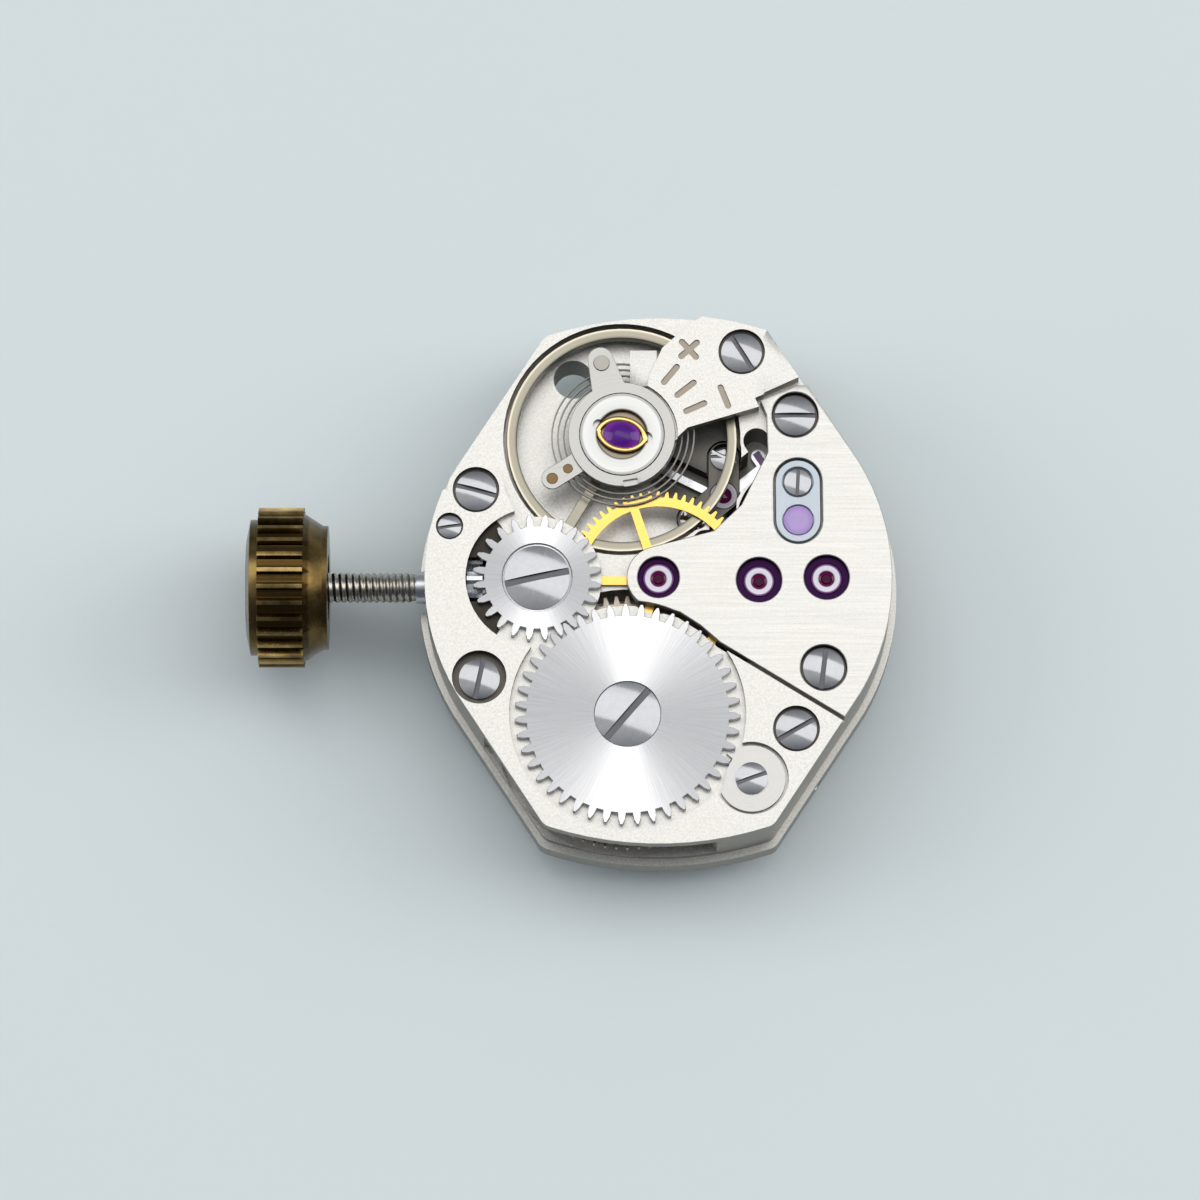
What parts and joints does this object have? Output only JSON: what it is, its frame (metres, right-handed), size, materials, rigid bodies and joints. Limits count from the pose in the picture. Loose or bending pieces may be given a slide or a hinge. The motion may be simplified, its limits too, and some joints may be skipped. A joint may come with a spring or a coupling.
{
  "type": "mechanical watch movement",
  "caption": "Hand-wound mechanical watch movement with shaped plate, bridges, gear train, lever escapement, balance, winding and setting work, stem and crown.",
  "frame": {"origin": "centre arbor's axis at the plane of the dial seat", "axes": "+Z from the dial side to the bridges, +X away from the crown along the stem, +Y to the balance"},
  "size_m": [0.0223, 0.0192, 0.0062],
  "materials": {
    "nickel": "satin nickel plate",
    "polished_steel": "polished",
    "brushed_steel": "brushed",
    "gilt": "gilt",
    "nickel_balance": "brushed",
    "ruby": "polished",
    "spring_steel": "polished",
    "crown_brass": "aged"
  },
  "bodies": {
    "movement": {"mainplate": "nickel", "barrel_bridge": "nickel", "train_bridge": "nickel", "balance_cock": "nickel", "pallet_cock": "nickel", "bridge_screws": "polished_steel", "small_screws": "polished_steel", "setting_lever_screw": "polished_steel", "train_jewels": "ruby", "escape_endstone": "ruby", "endstone_plate": "polished_steel", "shock_blocks": "nickel", "shock_cap_jewels": "ruby", "shock_hole_jewels": "ruby", "shock_springs": "gilt", "hairspring": "spring_steel", "crown_wheel_core": "brushed_steel", "crown_wheel_screw": "polished_steel", "click_screw": "polished_steel", "click_spring": "spring_steel", "yoke_spring": "spring_steel", "setting_lever_jumper": "brushed_steel"},
    "stud_carrier": {"stud_carrier": "brushed_steel", "hairspring_stud": "polished_steel"},
    "regulator": {"regulator_index": "brushed_steel", "curb_pins": "gilt"},
    "balance": {"balance_wheel": "nickel_balance", "balance_staff": "polished_steel", "balance_roller": "polished_steel", "impulse_pin": "ruby", "hairspring_collet": "gilt"},
    "pallets": {"pallet_fork": "polished_steel", "pallet_arbor": "polished_steel", "pallet_stones": "ruby"},
    "escape": {"escape_wheel": "brushed_steel", "escape_pinion": "polished_steel"},
    "fourth": {"fourth_wheel": "gilt", "fourth_pinion": "polished_steel"},
    "third": {"third_wheel": "gilt", "third_pinion": "polished_steel"},
    "centre": {"centre_wheel": "gilt", "centre_pinion": "polished_steel", "cannon_pinion": "polished_steel"},
    "minute": {"minute_wheel": "brushed_steel"},
    "hour": {"hour_wheel": "gilt"},
    "barrel": {"barrel_drum": "gilt", "barrel_cover": "gilt", "mainspring": "spring_steel"},
    "ratchet": {"barrel_arbor": "polished_steel", "ratchet_wheel": "brushed_steel", "ratchet_screw": "polished_steel"},
    "crown_wheel": {"crown_wheel": "brushed_steel"},
    "click": {"click": "brushed_steel"},
    "stem": {"stem": "brushed_steel", "crown": "crown_brass"},
    "winding_pinion": {"winding_pinion": "brushed_steel"},
    "clutch": {"clutch_wheel": "brushed_steel"},
    "setting_lever": {"setting_lever": "brushed_steel"},
    "yoke": {"yoke": "brushed_steel"},
    "setting_wheel": {"setting_wheel": "brushed_steel"}
  },
  "joints": [
    {"name": "stem_turn", "type": "hinge", "parent": "movement", "child": "winding_pinion", "pos_m": [-0.006, 0, 0.002], "axis": [1, 0, 0], "continuous": true},
    {"name": "stem_pull", "type": "slide", "parent": "winding_pinion", "child": "stem", "axis": [-1, 0, 0], "range_m": [0, 0.00045]},
    {"name": "clutch_slide", "type": "slide", "parent": "winding_pinion", "child": "clutch", "axis": [1, 0, 0], "range_m": [0, 0.0004]},
    {"name": "crown_wheel_turn", "type": "hinge", "parent": "movement", "child": "crown_wheel", "pos_m": [-0.00415, 0, 0.002], "axis": [0, 0, 1], "continuous": true},
    {"name": "ratchet_turn", "type": "hinge", "parent": "movement", "child": "ratchet", "pos_m": [-0.00106, -0.00478, 0.002], "axis": [0, 0, 1], "continuous": true},
    {"name": "click_swing", "type": "hinge", "parent": "movement", "child": "click", "pos_m": [0.00316, -0.00702, 0.002], "axis": [0, 0, 1], "range_deg": [-18, 0]},
    {"name": "barrel_turn", "type": "hinge", "parent": "movement", "child": "barrel", "pos_m": [-0.00106, -0.00478, 0.002], "axis": [0, 0, 1], "continuous": true},
    {"name": "centre_turn", "type": "hinge", "parent": "movement", "child": "centre", "pos_m": [0, 0, 0.002], "axis": [0, 0, 1], "continuous": true},
    {"name": "third_turn", "type": "hinge", "parent": "movement", "child": "third", "pos_m": [0.00344, -0.00009, 0.002], "axis": [0, 0, 1], "continuous": true},
    {"name": "fourth_turn", "type": "hinge", "parent": "movement", "child": "fourth", "pos_m": [0.00575, 0, 0.002], "axis": [0, 0, 1], "continuous": true},
    {"name": "escape_turn", "type": "hinge", "parent": "movement", "child": "escape", "pos_m": [0.00479, 0.00202, 0.002], "axis": [0, 0, 1], "continuous": true},
    {"name": "minute_turn", "type": "hinge", "parent": "movement", "child": "minute", "pos_m": [-0.00101, 0.00195, 0.002], "axis": [0, 0, 1], "continuous": true},
    {"name": "hour_turn", "type": "hinge", "parent": "movement", "child": "hour", "pos_m": [0, 0, 0.002], "axis": [0, 0, 1], "continuous": true},
    {"name": "setting_turn", "type": "hinge", "parent": "movement", "child": "setting_wheel", "pos_m": [-0.00305, 0.00045, 0.002], "axis": [0, 0, 1], "continuous": true},
    {"name": "pallet_swing", "type": "hinge", "parent": "movement", "child": "pallets", "pos_m": [0.00226, 0.00328, 0.002], "axis": [0, 0, 1], "range_deg": [-5, 5]},
    {"name": "balance_swing", "type": "hinge", "parent": "movement", "child": "balance", "pos_m": [-0.00125, 0.00502, 0.002], "axis": [0, 0, 1], "range_deg": [-270, 270], "deforming": ["hairspring"]},
    {"name": "regulator_turn", "type": "hinge", "parent": "movement", "child": "regulator", "pos_m": [-0.00125, 0.00502, 0.002], "axis": [0, 0, 1], "range_deg": [-15, 15]},
    {"name": "stud_carrier_turn", "type": "hinge", "parent": "movement", "child": "stud_carrier", "pos_m": [-0.00125, 0.00502, 0.002], "axis": [0, 0, 1], "range_deg": [-8, 8]},
    {"name": "setting_lever_swing", "type": "hinge", "parent": "movement", "child": "setting_lever", "pos_m": [-0.00715, 0.0018, 0.002], "axis": [0, 0, 1], "range_deg": [-15, 0]},
    {"name": "yoke_swing", "type": "hinge", "parent": "movement", "child": "yoke", "pos_m": [-0.0053, 0.0031, 0.002], "axis": [0, 0, 1], "range_deg": [0, 7.6]}
  ],
  "couplings": [
    {"joint": "crown_wheel_turn", "follows": "stem_turn", "ratio": 0.625},
    {"joint": "ratchet_turn", "follows": "stem_turn", "ratio": -0.34884},
    {"joint": "barrel_turn", "follows": "centre_turn", "ratio": -0.13889},
    {"joint": "third_turn", "follows": "centre_turn", "ratio": -8},
    {"joint": "fourth_turn", "follows": "centre_turn", "ratio": 80},
    {"joint": "escape_turn", "follows": "centre_turn", "ratio": -600},
    {"joint": "minute_turn", "follows": "centre_turn", "ratio": -0.33333},
    {"joint": "hour_turn", "follows": "centre_turn", "ratio": 0.083333},
    {"joint": "setting_turn", "follows": "centre_turn", "ratio": 0.625},
    {"joint": "clutch_slide", "follows": "stem_pull", "ratio": 0.88889},
    {"joint": "setting_lever_swing", "follows": "stem_pull", "rad_per_m": -554.6},
    {"joint": "yoke_swing", "follows": "stem_pull", "rad_per_m": 287}
  ]
}
